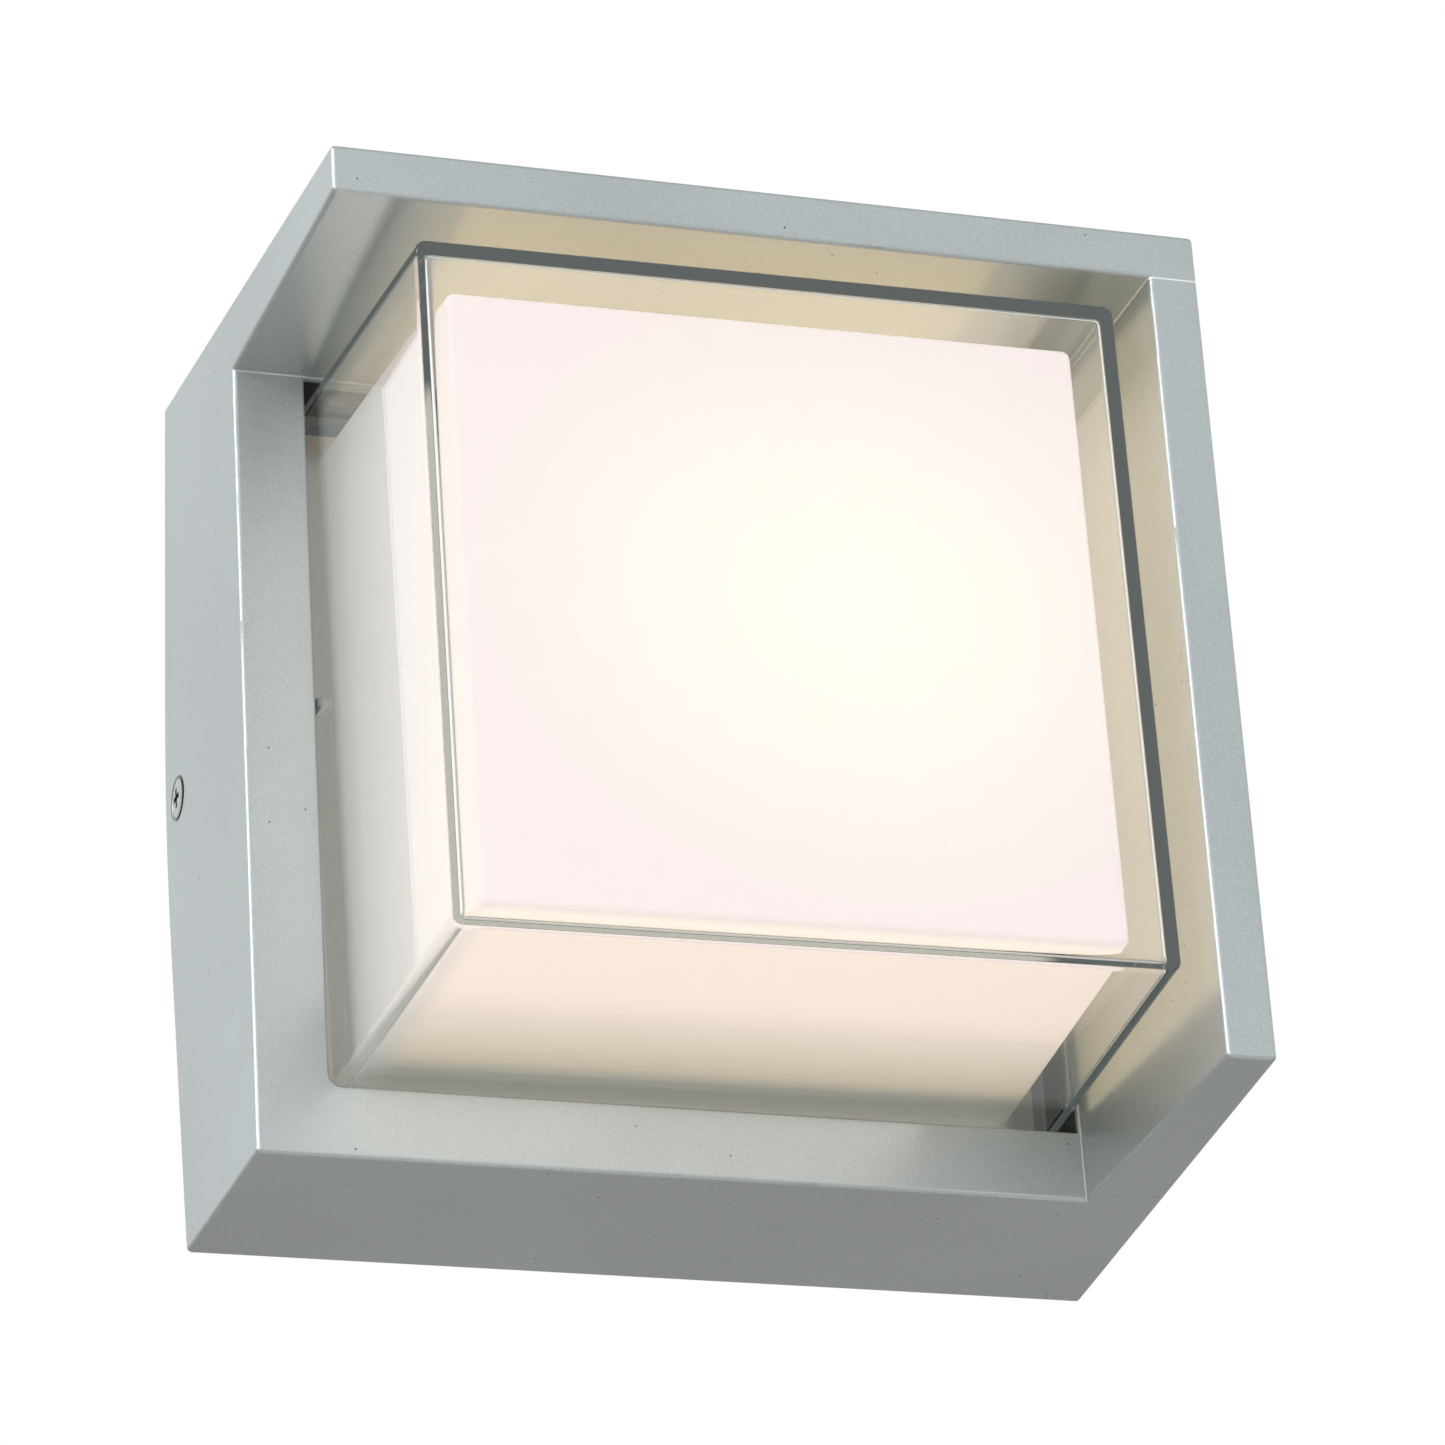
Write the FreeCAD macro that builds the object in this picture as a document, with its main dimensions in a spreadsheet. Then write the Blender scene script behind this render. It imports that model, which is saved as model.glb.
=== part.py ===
"""Outdoor wall lantern: a square die-cast housing with an open L-shaped hood round a glowing box.

Frame: millimetres, +Z up, X to the right seen from the front, Y into the wall. The origin is on
the wall plane at the middle of the mounting slots, so the light stands out towards -Y. Places in
front of the wall are written as positive distances ("out") and sketches on XZ planes use them.
"""
import FreeCAD, Part
import math
import os
import re

import Sketcher
from FreeCAD import Placement, Rotation, Vector

DIMENSIONS = {
    # housing
    "back_size": 178.5, "side_draft": 2.15, "hood_depth": 119.5, "rail_depth": 53.1,
    "bow_half": 24, "bow_radius": 285,
    "hood_lip": 9.7, "hood_inner_draft": 1.8, "opening_low": 73.2, "opening_high": 72.4, "rail_skin": 2.3,
    "shell_wall": 2.3, "slot_land": 5.5, "slot_half_length": 73, "slot_skin": 2.4, "edge_round": 1,
    "collar_rear": 41.5, "collar_half": 77, "opening_corner": 2.3, "opening_edge": 0.5,
    "crease_round": 0.4, "boss_place": 80.5, "boss_radius": 3.6,
    # clear cover, opal diffuser and the gasket that seals them
    "gasket_thick": 1.2, "gasket_inner": 72.8, "flange_half": 77.5, "flange_corner": 6,
    "cover_flange": 3, "cover_front": 118, "cover_half": 71.6, "cover_draft": 2.5,
    "cover_wall": 2, "cover_corner": 2, "box_edge": 0.9,
    "diffuser_flange": 2, "diffuser_front": 111.5, "diffuser_half": 64.6, "diffuser_draft": 2.7,
    "diffuser_wall": 2, "diffuser_corner": 1.5,
    "pip_half": 1, "pip_reach": 72.2, "pip_up": 5.6, "pip_rear": 47.5, "pip_long": 4,
    "cover_slip": 0.25, "cover_turn": 0.45,
    # tray and light engine
    "tray_half": 84, "tray_thick": 1.2, "pad_thick": 0.5, "board_half": 50, "board_thick": 1.6,
    "board_hole": 8, "board_hole_up": 2, "chip_size": 3, "chip_thick": 0.7, "chip_pitch": 16,
    "chip_rows": 6, "connector_wide": 9, "connector_tall": 8, "connector_deep": 6.3,
    "connector_up": -14, "grommet_bore": 2.9, "grommet_neck": 4.4, "grommet_flange": 6,
    "grommet_lip": 1.2,
    # leads between driver and light board
    "lead_radius": 0.9, "lead_space": 1.2, "lead_reach": 54.5, "lead_start_out": 23.4,
    # driver
    "driver_wide": 96, "driver_tall": 38, "driver_deep": 20.8, "driver_up": 38, "driver_wall": 1.5,
    "lid_thick": 1.2, "lid_ear": 9, "driver_corner": 2.5, "pcb_thick": 1.6, "pcb_gap": 2.5,
    "transformer_size": 15, "core_tall": 11, "capacitor_radius": 4, "capacitor_tall": 11,
    "bush_bore": 3.2, "bush_neck": 4.5, "bush_flange": 6, "bush_out": 21.3,
    # wall plate
    "plate_wide": 171.6, "plate_tall": 64, "plate_thick": 1.5, "tab_tall": 36, "tab_reach": 14,
    "slot_spacing": 79.4, "slot_long": 14.3, "slot_wide": 4.8, "wire_hole": 11.1,
    "dimple_radius": 8, "dimple_height": 3.5, "dimple_across": 26, "dimple_up": -20,
    # fasteners
    "side_screw_out": 8.2, "side_screw_up": 3.2, "side_head": 4.15, "side_head_deep": 2.1,
    "side_head_dome": 0.3, "side_shank": 2, "side_screw_long": 9, "screw_fit": 0.05, "seat_gap": 0.5,
    "clearance": 0.25,
    "small_head": 3, "small_head_tall": 2, "small_shank": 1.5, "recess_wide": 0.9,
    "recess_long": 4, "recess_deep": 1.3,
    "ground_head": 4.6, "ground_head_tall": 3, "ground_shank": 2.4, "washer_radius": 6,
    "washer_thick": 1,
}

# Places along the stack, as distances out from the wall.
HALF = "(back_size / 2)"
SLOPE = "tan(side_draft)"
RAIL_REAR = "(rail_depth - rail_skin)"
COVER_FLANGE = "(collar_rear - gasket_thick)"
DIFFUSER_FLANGE = f"({COVER_FLANGE} - cover_flange)"
TRAY_FRONT = f"({DIFFUSER_FLANGE} - diffuser_flange)"
TRAY_REAR = f"({TRAY_FRONT} - tray_thick)"
BOARD_REAR = f"({TRAY_FRONT} + pad_thick)"
BOARD_FRONT = f"({BOARD_REAR} + board_thick)"
LID_REAR = f"({TRAY_REAR} - lid_thick)"
DRIVER_REAR = f"({LID_REAR} - driver_deep)"
HOOD_INNER = f"({HALF} - hood_depth * {SLOPE} - hood_lip)"
CAVITY = f"({HALF} - shell_wall)"

doc = FreeCAD.newDocument("outdoor_wall_lantern")
sheet = doc.addObject("Spreadsheet::Sheet", "dims")
for row, (alias, number) in enumerate(DIMENSIONS.items(), start=1):
    sheet.set(f"A{row}", alias)
    sheet.set(f"B{row}", str(number))
    sheet.setAlias(f"B{row}", alias)
doc.recompute()

nodes = []


def linked(expression):
    """The expression with each dimension's name pointing at its cell in the sheet."""
    return re.sub(r"[a-z_]+", lambda word: f"dims.{word[0]}" if word[0] in DIMENSIONS else word[0],
                  str(expression))


def size(expression):
    """The expression's value now, in millimetres."""
    return float(sheet.evalExpression(linked(expression)))


# ---------------------------------------------------------------- building blocks

def new_body(label):
    body = doc.addObject("PartDesign::Body", label)
    body.Label = label
    nodes.append(body)
    return body


def new_sketch(body, name, plane="XZ_Plane", at=(0, 0, 0)):
    """A sketch on a plane of the body; at moves its origin along the sketch's X, Y and normal."""
    sketch = body.newObject("Sketcher::SketchObject", name)
    support = next(item for item in body.Origin.OriginFeatures if item.Role == plane)
    sketch.AttachmentSupport = [(support, "")]
    sketch.MapMode = "FlatFace"
    for axis, expression in zip("xyz", at):
        sketch.setExpression(f"AttachmentOffset.Base.{axis}", linked(expression))
    return sketch


def constrain(sketch, kind, *where, value):
    """One driving dimension on the sketch, bound to the sheet."""
    index = sketch.addConstraint(Sketcher.Constraint(kind, *where, size(value)))
    sketch.setExpression(f"Constraints[{index}]", linked(value))


def add_outline(sketch, corners):
    """A closed outline with straight sides; each corner is a pair of expressions."""
    ends = [Vector(size(x), size(y), 0) for x, y in corners]
    lines = [sketch.addGeometry(Part.LineSegment(start, end))
             for start, end in zip(ends, ends[1:] + ends[:1])]
    for line, following in zip(lines, lines[1:] + lines[:1]):
        sketch.addConstraint(Sketcher.Constraint("Coincident", line, 2, following, 1))
    for line, (x, y) in zip(lines, corners):
        constrain(sketch, "DistanceX", -1, 1, line, 1, value=x)
        constrain(sketch, "DistanceY", -1, 1, line, 1, value=y)


def add_box(sketch, left, bottom, right, top):
    add_outline(sketch, [(left, bottom), (right, bottom), (right, top), (left, top)])


def add_square(sketch, half):
    add_box(sketch, f"-({half})", f"-({half})", half, half)


def add_circle(sketch, x, y, radius):
    circle = sketch.addGeometry(Part.Circle(Vector(size(x), size(y), 0), Vector(0, 0, 1), size(radius)))
    constrain(sketch, "DistanceX", -1, 1, circle, 3, value=x)
    constrain(sketch, "DistanceY", -1, 1, circle, 3, value=y)
    constrain(sketch, "Radius", circle, value=radius)


def extrude(kind, body, name, sketch, length, inwards=0, to_wall=None):
    """A Pad or Pocket; inwards is the draft angle by which its outline shrinks along the way."""
    feature = body.newObject(f"PartDesign::{kind}", name)
    feature.Profile = sketch
    feature.setExpression("Length", linked(length))
    feature.setExpression("TaperAngle", linked(f"-({inwards})"))
    pad_goes_out = kind == "Pad"
    if to_wall is not None:
        feature.Reversed = to_wall == pad_goes_out
    doc.recompute()
    return feature


def pad(body, name, sketch, length, inwards=0, to_wall=False):
    return extrude("Pad", body, name, sketch, length, inwards, to_wall)


def pocket(body, name, sketch, length, inwards=0, to_wall=True):
    before = body.Shape.Volume
    feature = extrude("Pocket", body, name, sketch, length, inwards, to_wall)
    if not body.Shape.Volume < before - 1e-3:
        raise RuntimeError(f"{body.Label}: {name} cuts nothing")
    return feature


def turn(kind, body, name, sketch, axis):
    """A Revolution or Groove about one of the sketch's own axes."""
    feature = body.newObject(f"PartDesign::{kind}", name)
    feature.Profile = sketch
    feature.ReferenceAxis = (sketch, [axis])
    feature.Angle = 360
    doc.recompute()
    return feature


def round_edges(body, name, radius, wanted):
    """A Fillet on the edges that the test accepts; it sees an edge's two end points."""
    tip = body.Tip
    names = [f"Edge{number}" for number, edge in enumerate(tip.Shape.Edges, start=1)
             if len(edge.Vertexes) == 2 and wanted(*[vertex.Point for vertex in edge.Vertexes])]
    feature = body.newObject("PartDesign::Fillet", name)
    feature.Base = (tip, names)
    feature.setExpression("Radius", linked(radius))
    doc.recompute()
    return feature


def around(body, features):
    """Repeats features four times round the axis that stands out of the wall."""
    pattern = body.newObject("PartDesign::PolarPattern", "around")
    pattern.Originals = features
    axis = next(item for item in body.Origin.OriginFeatures if item.Role == "Y_Axis")
    pattern.Axis = (axis, [""])
    pattern.Angle = 360
    pattern.Occurrences = 4
    body.Tip = pattern
    doc.recompute()
    return pattern


def mirrored(body, features):
    """Repeats features on the other side of the plane between left and right."""
    mirror = body.newObject("PartDesign::Mirrored", "mirrored")
    mirror.Originals = features
    plane = next(item for item in body.Origin.OriginFeatures if item.Role == "YZ_Plane")
    mirror.MirrorPlane = (plane, [""])
    body.Tip = mirror
    doc.recompute()
    return mirror


def along_depth(start, end):
    """True for an edge that runs from the wall side towards the front."""
    return abs(start.y - end.y) > 0.9 * (end - start).Length


def in_plane(y):
    """A test for edges that lie at one distance in front of the wall."""
    return lambda start, end: abs(start.y + y) < 0.01 and abs(end.y + y) < 0.01


# ---------------------------------------------------------------- housing

def make_front_frame():
    """Drafted square shell: deep hood walls on top and right, low rails at the left and bottom."""
    body = new_body("front_frame")
    block = new_sketch(body, "block_outline")
    add_square(block, HALF)
    pad(body, "block", block, "hood_depth", "side_draft")
    bow = new_sketch(body, "bow_outline", "YZ_Plane", (0, 0, "-back_size"))
    add_bow(bow)
    pocket(body, "bowed_rear", bow, "2 * back_size", to_wall=False)

    step = new_sketch(body, "step_outline", at=(0, 0, "hood_depth"))
    add_box(step, "-back_size", "-back_size", HOOD_INNER, HOOD_INNER)
    pocket(body, "hood_step", step, "hood_depth - rail_depth", "hood_inner_draft")

    opening = new_sketch(body, "opening_outline", at=(0, 0, "rail_depth"))
    add_box(opening, "-opening_low", "-opening_low", "opening_high", "opening_high")
    pocket(body, "cover_opening", opening, "rail_depth")

    round_edges(body, "soft_edges", "edge_round", soft_edge)
    round_edges(body, "creases", "crease_round", inner_crease)

    cavity = new_sketch(body, "cavity_outline")
    add_square(cavity, CAVITY)
    pocket(body, "rear_cavity", cavity, RAIL_REAR, "side_draft", to_wall=False)

    slots = new_sketch(body, "slot_outlines", at=(0, 0, RAIL_REAR))
    low, high = "opening_low + slot_land", f"{CAVITY} - {RAIL_REAR} * {SLOPE}"
    add_box(slots, "-slot_half_length", low, "slot_half_length", high)
    add_box(slots, low, "-slot_half_length", high, "slot_half_length")
    pocket(body, "hood_slots", slots, f"hood_depth - slot_skin - {RAIL_REAR}", "side_draft", to_wall=False)

    collar = new_sketch(body, "collar_outline", at=(0, 0, "collar_rear"))
    add_square(collar, "collar_half")
    add_box(collar, "-opening_low", "-opening_low", "opening_high", "opening_high")
    pad(body, "collar", collar, "rail_depth - rail_skin / 2 - collar_rear")
    low_corner = -size("opening_low")
    round_edges(body, "low_corner", "opening_corner",
                lambda start, end: along_depth(start, end)
                and max(abs(start.x - low_corner), abs(start.z - low_corner)) < 0.01)
    round_edges(body, "opening_edges", "opening_edge", opening_edge)

    boss = new_sketch(body, "boss_circle", at=(0, 0, TRAY_FRONT))
    add_circle(boss, "boss_place", "boss_place", "boss_radius")
    column = pad(body, "boss", boss, f"rail_depth - rail_skin / 2 - {TRAY_FRONT}")
    around(body, [column])
    pilot = new_sketch(body, "pilot_circle", at=(0, 0, TRAY_FRONT))
    add_circle(pilot, "boss_place", "boss_place", "small_shank + screw_fit")
    hole = pocket(body, "pilot", pilot, f"{RAIL_REAR} - {TRAY_FRONT} + rail_skin / 2", to_wall=False)
    around(body, [hole])

    for side in (-1, 1):
        cone = new_sketch(body, "countersink", "XY_Plane", (0, "-side_screw_out", "side_screw_up"))
        add_outline(cone, side_screw_cone(side, "seat_gap"))
        turn("Groove", body, "screw_seat", cone, "H_Axis")


def add_bow(sketch):
    """What the bowed rear leaves out: the sides reach the wall only at the middle of their height."""
    radius, half, margin = size("bow_radius"), size("bow_half"), size("back_size")
    turned = math.asin(half / radius)
    arc_end = radius * math.cos(turned) - radius
    far = arc_end - (margin - half) * math.tan(turned)
    circle = Part.Circle(Vector(-radius, 0, 0), Vector(0, 0, 1), radius)
    arc = sketch.addGeometry(Part.ArcOfCircle(circle, -turned, turned))
    ends = [Vector(arc_end, half, 0), Vector(far, margin, 0), Vector(margin, margin, 0),
            Vector(margin, -margin, 0), Vector(far, -margin, 0), Vector(arc_end, -half, 0)]
    lines = [sketch.addGeometry(Part.LineSegment(start, end)) for start, end in zip(ends, ends[1:])]
    for line, following in zip(lines, lines[1:]):
        sketch.addConstraint(Sketcher.Constraint("Coincident", line, 2, following, 1))
    sketch.addConstraint(Sketcher.Constraint("Tangent", arc, 2, lines[0], 1))
    sketch.addConstraint(Sketcher.Constraint("Tangent", arc, 1, lines[-1], 2))
    sketch.addConstraint(Sketcher.Constraint("PointOnObject", arc, 3, -1))
    constrain(sketch, "DistanceX", arc, 3, -1, 1, value="bow_radius")
    constrain(sketch, "Radius", arc, value="bow_radius")
    for arc_point, up in ((2, "bow_half"), (1, "-bow_half")):
        constrain(sketch, "DistanceY", -1, 1, arc, arc_point, value=up)
    for line, up in zip(lines, ("back_size", "back_size", "-back_size", "-back_size")):
        constrain(sketch, "DistanceY", -1, 1, line, 2, value=up)
    for line in lines[1:3]:
        constrain(sketch, "DistanceX", -1, 1, line, 2, value="back_size")


def side_screw_cone(side, gap):
    """Half section of the seat that a side screw sits in, as distances along and off its axis."""
    face = f"({HALF} - side_screw_out * {SLOPE})"
    outer, inner = f"{side} * ({face} + 2)", f"{side} * ({face} - 2 * shell_wall)"
    head, shank = f"side_head + {gap}", f"side_shank + {gap}"
    return [(outer, 0), (inner, 0), (inner, shank), (f"{side} * ({face} - side_head_deep)", shank),
            (f"{side} * {face}", head), (outer, head)]


def soft_edge(start, end):
    """Edges of the hood and the rails that can be seen and touched, but not their inner corners."""
    middle = (start + end) / 2
    if along_depth(start, end):
        return max(abs(middle.x), abs(middle.z)) > size("opening_low + 2")
    on_hood = abs(middle.y + size("hood_depth")) < 0.01
    on_rail = abs(middle.y + size("rail_depth")) < 0.01
    return on_hood or on_rail and min(middle.x, middle.z) < -size("opening_low + 2")


def inner_crease(start, end):
    """The inside corners of the hood: between its two walls, and where they meet the rails' plane."""
    middle = (start + end) / 2
    lower, upper = sorted((middle.x, middle.z))
    reach = size("opening_high + 0.1")
    if along_depth(start, end):
        return lower > reach
    return abs(middle.y + size("rail_depth")) < 0.01 and upper > reach > lower


def opening_edge(start, end):
    """The front edges of the cover's opening, along the two rails and round the corner between them."""
    middle = (start + end) / 2
    on_rail = in_plane(size("rail_depth"))(start, end)
    inside = max(abs(middle.x), abs(middle.z)) < size("opening_low + 0.01")
    return on_rail and inside and min(middle.x, middle.z) < -size("opening_high")


def make_cover_gasket():
    """Flat silicone ring between the frame's collar and the clear cover's flange."""
    body = new_body("cover_gasket")
    ring = new_sketch(body, "ring_outlines", at=(0, 0, COVER_FLANGE))
    add_square(ring, "flange_half")
    add_square(ring, "gasket_inner")
    pad(body, "ring", ring, "gasket_thick")
    corner = size("flange_half") - 0.01
    round_edges(body, "outer_corners", "flange_corner",
                lambda start, end: along_depth(start, end) and abs(start.x) > corner)


def make_cover(label, flange_out, flange, front, half, draft, wall, corner_round):
    """A drafted five-sided box with a flat flange round its open rear.

    It hangs a little low, left and turned in its clearance.
    """
    body = new_body(label)
    plate = new_sketch(body, "flange_outline", at=(0, 0, f"{flange_out} - {flange}"))
    add_square(plate, "flange_half")
    pad(body, "flange_plate", plate, flange)
    corner = size("flange_half") - 0.01
    round_edges(body, "flange_corners", "flange_corner",
                lambda start, end: along_depth(start, end) and abs(start.x) > corner)

    outside = new_sketch(body, "outside_outline", at=(0, 0, flange_out))
    add_square(outside, half)
    pad(body, "outside", outside, f"{front} - {flange_out}", draft)
    front_y, flange_y = size(front), size(flange_out)
    round_edges(body, "box_corners", corner_round,
                lambda start, end: abs(start.y - end.y) > 0.9 * (front_y - flange_y))
    round_edges(body, "front_edges", "box_edge", in_plane(front_y))

    inside = new_sketch(body, "inside_outline", at=(0, 0, f"{flange_out} - {flange}"))
    add_square(inside, f"{half} - {wall} + {flange} * tan({draft})")
    pocket(body, "inside", inside, f"{front} - {wall} - {flange_out} + {flange}", draft, to_wall=False)
    body.Placement = Placement(Vector(), Rotation(Vector(0, 1, 0), -size("cover_turn")))
    for axis in "xz":
        body.setExpression(f"Placement.Base.{axis}", linked("-cover_slip"))
    return body


def make_clear_cover():
    """Clear outer box, with a moulded pip on its left and right sides that centres it in the opening."""
    body = make_cover("clear_cover", COVER_FLANGE, "cover_flange", "cover_front", "cover_half",
                      "cover_draft", "cover_wall", "cover_corner")
    pip = new_sketch(body, "pip_outline", at=(0, 0, "pip_rear"))
    add_box(pip, "cover_half - cover_wall / 2", "pip_up - pip_half", "pip_reach", "pip_up + pip_half")
    mirrored(body, [pad(body, "pip", pip, "pip_long")])


def make_opal_diffuser():
    make_cover("opal_diffuser", DIFFUSER_FLANGE, "diffuser_flange", "diffuser_front", "diffuser_half",
               "diffuser_draft", "diffuser_wall", "diffuser_corner")


# ---------------------------------------------------------------- light engine

def make_led_tray():
    """Steel sheet that closes the rear of the diffuser and carries the board and the driver."""
    body = new_body("led_tray")
    sheet_outline = new_sketch(body, "sheet_outline", at=(0, 0, TRAY_REAR))
    add_square(sheet_outline, "tray_half")
    add_circle(sheet_outline, 0, "board_hole_up", "grommet_neck + clearance")
    pad(body, "sheet", sheet_outline, "tray_thick")
    holes = new_sketch(body, "fixing_holes", at=(0, 0, TRAY_FRONT))
    for across in (-1, 1):
        for up in (-1, 1):
            add_circle(holes, f"{across} * boss_place", f"{up} * boss_place", "small_shank + clearance")
            add_circle(holes, *board_screw_place(across, up), "small_shank + screw_fit")
        add_circle(holes, driver_ear(across), "driver_up", "small_shank + screw_fit")
    pocket(body, "fixings", holes, "tray_thick")


def board_screw_place(across, up):
    return f"{across} * (board_half - 5)", f"{up} * (board_half - 5)"


def driver_ear(side):
    return f"{side} * (driver_wide + lid_ear) / 2"


def add_board_outline(sketch):
    """The light board's outline, with its lead hole and four screw holes."""
    add_square(sketch, "board_half")
    add_circle(sketch, 0, "board_hole_up", "board_hole")
    for across in (-1, 1):
        for up in (-1, 1):
            add_circle(sketch, *board_screw_place(across, up), "small_shank + clearance")


def make_thermal_pad():
    body = new_body("thermal_pad")
    outline = new_sketch(body, "pad_outline", at=(0, 0, TRAY_FRONT))
    add_board_outline(outline)
    pad(body, "pad", outline, "pad_thick")


def make_led_board():
    body = new_body("led_board")
    outline = new_sketch(body, "board_outline", at=(0, 0, BOARD_REAR))
    add_board_outline(outline)
    pad(body, "board", outline, "board_thick")


def make_led_chips():
    """Square packages in even rows on the front of the board."""
    body = new_body("led_chips")
    rows = int(size("chip_rows"))
    lowest = "(chip_pitch * (chip_rows - 1) / 2 + chip_size / 2)"
    first_row = new_sketch(body, "first_row", at=(0, f"-{lowest}", BOARD_FRONT))
    for column in range(rows):
        left = f"{column} * chip_pitch - {lowest}"
        add_box(first_row, left, 0, f"{left} + chip_size", "chip_size")
    row_of_chips = pad(body, "row_of_chips", first_row, "chip_thick")
    grid = body.newObject("PartDesign::LinearPattern", "rows_of_chips")
    grid.Originals = [row_of_chips]
    grid.Direction = (next(item for item in body.Origin.OriginFeatures if item.Role == "Z_Axis"), [""])
    grid.setExpression("Length", linked("chip_pitch * (chip_rows - 1)"))
    grid.Occurrences = rows
    body.Tip = grid
    doc.recompute()


def make_board_connector():
    """Two-way push-in connector on the board, entered from the front."""
    body = new_body("board_connector")
    block = new_sketch(body, "block_outline", at=(0, "connector_up", BOARD_FRONT))
    add_box(block, "-connector_wide / 2", "-connector_tall / 2", "connector_wide / 2", "connector_tall / 2")
    pad(body, "block", block, "connector_deep")
    entries = new_sketch(body, "entries", at=(0, "connector_up", f"{BOARD_FRONT} + connector_deep"))
    for side in (-1, 1):
        add_circle(entries, f"{side} * lead_space * 1.5", 0, "lead_radius + screw_fit")
    pocket(body, "lead_entries", entries, "connector_deep / 2")


def make_lead_grommet():
    """Rubber grommet in the tray, with a flange on each side and one bore for both leads."""
    body = new_body("lead_grommet")
    profile = new_sketch(body, "profile", "XY_Plane", (0, f"-{TRAY_FRONT}", "board_hole_up"))
    rear, lip = "tray_thick", "grommet_lip"
    add_outline(profile, [("grommet_bore", f"-{lip}"), ("grommet_flange", f"-{lip}"), ("grommet_flange", 0),
                          ("grommet_neck", 0), ("grommet_neck", rear), ("grommet_flange", rear),
                          ("grommet_flange", f"{rear} + {lip}"), ("grommet_bore", f"{rear} + {lip}")])
    turn("Revolution", body, "ring", profile, "V_Axis")


def lead_path(side):
    """Runs from the driver, through the grommet and over into the connector, with round bends."""
    across = side * size("lead_space") * 1.5
    start_out, reach = size("lead_start_out"), size("lead_reach")
    start_up = size("driver_up - driver_tall / 2 + driver_wall / 2")
    hole_up, end_up = size("board_hole_up"), size("connector_up")
    end_out = size(f"{BOARD_FRONT} + connector_deep * 0.6")
    corners = [(start_out, start_up), (start_out, hole_up), (reach, hole_up), (reach, end_up),
               (end_out, end_up)]
    return [Vector(across, -out, up) for out, up in corners]


def bend_radius(before, corner, after):
    """The largest bend that leaves both of its runs a straight part."""
    turn_angle = (corner - before).getAngle(after - corner)
    shorter = min((corner - before).Length, (after - corner).Length)
    return 0.45 * shorter / math.tan(turn_angle / 2)


def rounded_wire(points):
    """Straight runs joined by tangent arcs."""
    edges, start = [], points[0]
    for before, corner, after in zip(points, points[1:], points[2:]):
        back, ahead = (before - corner).normalize(), (after - corner).normalize()
        half_turn = (math.pi - back.getAngle(ahead)) / 2
        radius = bend_radius(before, corner, after)
        reach = radius * math.tan(half_turn)
        enter, leave = corner + back * reach, corner + ahead * reach
        inward = (back + ahead).normalize()
        middle = corner + inward * (radius / math.cos(half_turn) - radius)
        edges += [Part.LineSegment(start, enter).toShape(), Part.Arc(enter, middle, leave).toShape()]
        start = leave
    edges.append(Part.LineSegment(start, points[-1]).toShape())
    return Part.Wire(edges)


def make_lead(label, side):
    """Insulated lead as a round tube along its wire."""
    points = lead_path(side)
    path = rounded_wire(points)
    circle = Part.Circle(points[0], points[1] - points[0], size("lead_radius"))
    tube = Part.Wire([circle.toShape()])
    lead = doc.addObject("Part::Feature", label)
    lead.Label = label
    lead.Shape = path.makePipeShell([tube], True, True)
    lead.Placement = Placement(Vector(0, 0, 0), Rotation())
    nodes.append(lead)
    bends = [round(bend_radius(*three), 1) for three in zip(points, points[1:], points[2:])]
    expected = math.pi * size("lead_radius") ** 2 * path.Length
    ratio = lead.Shape.Volume / expected
    print(f"{label}: length {path.Length:.1f}, bends {bends}, volume ratio {ratio:.3f}")


# ---------------------------------------------------------------- driver

def make_driver_lid():
    """Flat lid between the driver and the tray, with an ear at each end for its screw."""
    body = new_body("driver_lid")
    outline = new_sketch(body, "lid_outline", at=(0, "driver_up", LID_REAR))
    add_box(outline, "-(driver_wide / 2 + lid_ear)", "-driver_tall / 2", "driver_wide / 2 + lid_ear",
            "driver_tall / 2")
    for side in (-1, 1):
        add_circle(outline, driver_ear(side), 0, "small_shank + clearance")
    pad(body, "lid", outline, "lid_thick")
    corner = size("driver_wide / 2 + lid_ear") - 0.1
    round_edges(body, "lid_corners", "driver_corner",
                lambda start, end: along_depth(start, end) and abs(start.x) > corner)


def make_driver_case():
    """Moulded driver case, open towards the lid, with one supply hole and two lead holes."""
    body = new_body("driver_case")
    outside = new_sketch(body, "outside_outline", at=(0, "driver_up", DRIVER_REAR))
    half_wide, half_tall = "driver_wide / 2", "driver_tall / 2"
    add_box(outside, f"-{half_wide}", f"-{half_tall}", half_wide, half_tall)
    pad(body, "outside", outside, "driver_deep")
    round_edges(body, "case_corners", "driver_corner", along_depth)
    round_edges(body, "rear_edges", "driver_corner / 2", in_plane(size(DRIVER_REAR)))
    inside = new_sketch(body, "inside_outline", at=(0, "driver_up", LID_REAR))
    add_box(inside, f"-({half_wide} - driver_wall)", f"-({half_tall} - driver_wall)",
            f"{half_wide} - driver_wall", f"{half_tall} - driver_wall")
    pocket(body, "inside", inside, "driver_deep - driver_wall")
    supply = new_sketch(body, "supply_circle", "YZ_Plane",
                        ("-bush_out", "driver_up", f"-({half_wide} + 1)"))
    add_circle(supply, 0, 0, "bush_neck")
    pocket(body, "supply_hole", supply, "driver_wall + 2", to_wall=False)
    leads = new_sketch(body, "lead_circles", "XY_Plane",
                       (0, "-lead_start_out", f"driver_up - {half_tall} - 1"))
    for side in (-1, 1):
        add_circle(leads, f"{side} * lead_space * 1.5", 0, "lead_radius + screw_fit")
    pocket(body, "lead_holes", leads, "driver_wall + 2", to_wall=False)


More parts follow.
